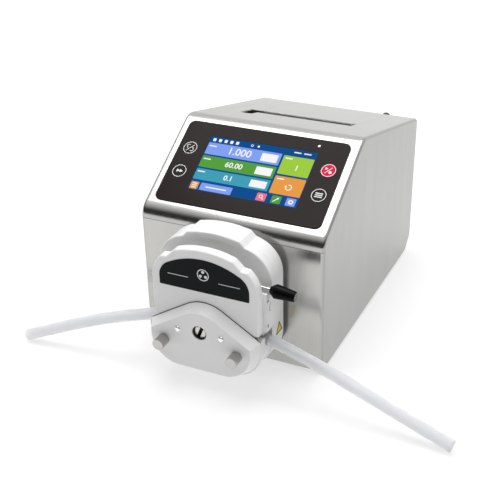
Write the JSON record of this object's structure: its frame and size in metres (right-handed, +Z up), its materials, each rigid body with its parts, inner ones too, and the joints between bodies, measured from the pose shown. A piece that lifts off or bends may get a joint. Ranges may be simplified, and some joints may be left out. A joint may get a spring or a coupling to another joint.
{
  "type": "peristaltic pump",
  "caption": "Bench peristaltic pump: slant-front steel drive with a touch panel and a lever-locked roller head holding one flexible tube.",
  "frame": {"origin": "on the bench, on the middle plane of the drive, midway between the thumb screws at the front and the antenna at the back", "axes": "+X to the right of someone facing the panel, +Y from the panel towards the back, +Z up"},
  "size_m": [0.373, 0.317, 0.1722],
  "materials": {
    "case_steel": "brushed stainless steel sheet",
    "plain_steel": "turned steel",
    "zinc_steel": "zinc plated steel",
    "head_plastic": "satin white engineering plastic",
    "overlay_black": "dark glossy panel film",
    "screen_glass": "lit display behind clear film",
    "key_dark": "dark glossy key with a pale symbol",
    "key_red": "crimson glossy key with a pale symbol",
    "label_black": "matt dark printed label",
    "marker_yellow": "plain yellow film",
    "black_plastic": "glossy black plastic",
    "matte_black": "matt black plastic",
    "rubber": "moulded rubber",
    "silicone": "translucent silicone rubber",
    "roller_plastic": "ivory bearing plastic",
    "board_green": "printed circuit board",
    "motor_black": "black painted laminations",
    "aluminium": "bare aluminium",
    "brass": "plated brass",
    "lamp": "frosted lamp lens"
  },
  "bodies": {
    "drive": {"case_shell": "case_steel", "front_plate": "case_steel", "base_plate": "case_steel", "rear_panel": "case_steel", "handle_tray": "case_steel", "handle_pin": "plain_steel", "feet": "rubber", "panel_screws": "zinc_steel", "power_inlet": "matte_black", "switch_frame": "matte_black", "control_port": "zinc_steel", "antenna_socket": "brass", "display_overlay": "overlay_black", "touch_screen": "screen_glass", "key_switches": "matte_black", "main_board": "board_green", "status_led": "lamp", "board_standoffs": "brass", "motor_bracket": "zinc_steel", "stepper_motor": "motor_black", "motor_screws": "zinc_steel", "power_supply": "aluminium", "head_flange": "matte_black", "flange_screws": "zinc_steel", "head_plate": "head_plastic", "lower_block": "head_plastic", "bearing_plate": "head_plastic", "side_marker": "marker_yellow", "shaft_bearings": "plain_steel", "guide_pins": "plain_steel", "dowel_pins": "plain_steel", "head_tube": "silicone", "tube_left": "silicone", "tube_right": "silicone"},
    "rotor": {"rotor_shaft": "plain_steel", "rotor_cheeks": "plain_steel", "roller_pins": "plain_steel", "shaft_coupling": "aluminium", "motor_shaft": "plain_steel"},
    "roller_1": {"roller_1": "roller_plastic"},
    "roller_2": {"roller_2": "roller_plastic"},
    "roller_3": {"roller_3": "roller_plastic"},
    "press_block": {"press_block": "head_plastic", "block_cover": "head_plastic", "head_label": "label_black", "tube_jaws": "head_plastic"},
    "lever": {"cam_shaft": "plain_steel", "lever_rod": "plain_steel", "lever_knob": "black_plastic"},
    "key_direction": {"key_direction": "key_dark"},
    "key_prime": {"key_prime": "key_dark"},
    "key_run": {"key_run": "key_red"},
    "key_mode": {"key_mode": "key_dark"},
    "switch_rocker": {"switch_rocker": "black_plastic"},
    "thumb_screw_left": {"thumb_screw_left": "plain_steel"},
    "thumb_screw_right": {"thumb_screw_right": "plain_steel"},
    "carry_handle": {"carry_handle": "case_steel"},
    "antenna_knuckle": {"antenna_knuckle": "matte_black"},
    "antenna_whip": {"antenna_whip": "matte_black"}
  },
  "joints": [
    {"name": "rotor_spin", "type": "hinge", "parent": "drive", "child": "rotor", "pos_m": [0, -0.124, 0.0533], "axis": [0, 1, 0], "continuous": true},
    {"name": "roller_1_spin", "type": "hinge", "parent": "rotor", "child": "roller_1", "pos_m": [0, -0.124, 0.0743], "axis": [0, 1, 0], "continuous": true},
    {"name": "roller_2_spin", "type": "hinge", "parent": "rotor", "child": "roller_2", "pos_m": [-0.01819, -0.124, 0.0428], "axis": [0, 1, 0], "continuous": true},
    {"name": "roller_3_spin", "type": "hinge", "parent": "rotor", "child": "roller_3", "pos_m": [0.01819, -0.124, 0.0428], "axis": [0, 1, 0], "continuous": true},
    {"name": "lever_turn", "type": "hinge", "parent": "press_block", "child": "lever", "pos_m": [0, -0.1245, 0.095], "axis": [0, 1, 0], "range_deg": [-189, 0]},
    {"name": "block_lift", "type": "slide", "parent": "drive", "child": "press_block", "axis": [0, 0, 1], "range_m": [0, 0.012]},
    {"name": "direction_press", "type": "slide", "parent": "drive", "child": "key_direction", "axis": [0, 0.5255, -0.8508], "range_m": [0, 0.0004], "stiffness_N_per_m": 500},
    {"name": "prime_press", "type": "slide", "parent": "drive", "child": "key_prime", "axis": [0, 0.5255, -0.8508], "range_m": [0, 0.0004], "stiffness_N_per_m": 500},
    {"name": "run_press", "type": "slide", "parent": "drive", "child": "key_run", "axis": [0, 0.5255, -0.8508], "range_m": [0, 0.0004], "stiffness_N_per_m": 500},
    {"name": "mode_press", "type": "slide", "parent": "drive", "child": "key_mode", "axis": [0, 0.5255, -0.8508], "range_m": [0, 0.0004], "stiffness_N_per_m": 500},
    {"name": "switch_rock", "type": "hinge", "parent": "drive", "child": "switch_rocker", "pos_m": [-0.044, 0.1462, 0.084], "axis": [1, 0, 0], "range_deg": [0, 21.5]},
    {"name": "thumb_screw_left_turn", "type": "hinge", "parent": "drive", "child": "thumb_screw_left", "pos_m": [-0.0315, -0.1525, 0.0406], "axis": [0, 1, 0], "continuous": true},
    {"name": "thumb_screw_right_turn", "type": "hinge", "parent": "drive", "child": "thumb_screw_right", "pos_m": [0.0315, -0.1525, 0.0406], "axis": [0, 1, 0], "continuous": true},
    {"name": "handle_fold", "type": "hinge", "parent": "drive", "child": "carry_handle", "pos_m": [0.004, 0.03653, 0.16062], "axis": [1, 0, 0], "range_deg": [0, 90]},
    {"name": "antenna_swivel", "type": "hinge", "parent": "drive", "child": "antenna_knuckle", "pos_m": [0.047, 0.1545, 0.08], "axis": [0, 1, 0], "range_deg": [-90, 90]},
    {"name": "antenna_tilt", "type": "hinge", "parent": "antenna_knuckle", "child": "antenna_whip", "pos_m": [0.047, 0.1545, 0.0819], "axis": [1, 0, 0], "range_deg": [-90, 0]}
  ],
  "couplings": [
    {"joint": "roller_1_spin", "follows": "rotor_spin", "ratio": -3.3333},
    {"joint": "roller_2_spin", "follows": "rotor_spin", "ratio": -3.3333},
    {"joint": "roller_3_spin", "follows": "rotor_spin", "ratio": -3.3333},
    {"joint": "lever_turn", "follows": "block_lift", "rad_per_m": -274.88}
  ]
}
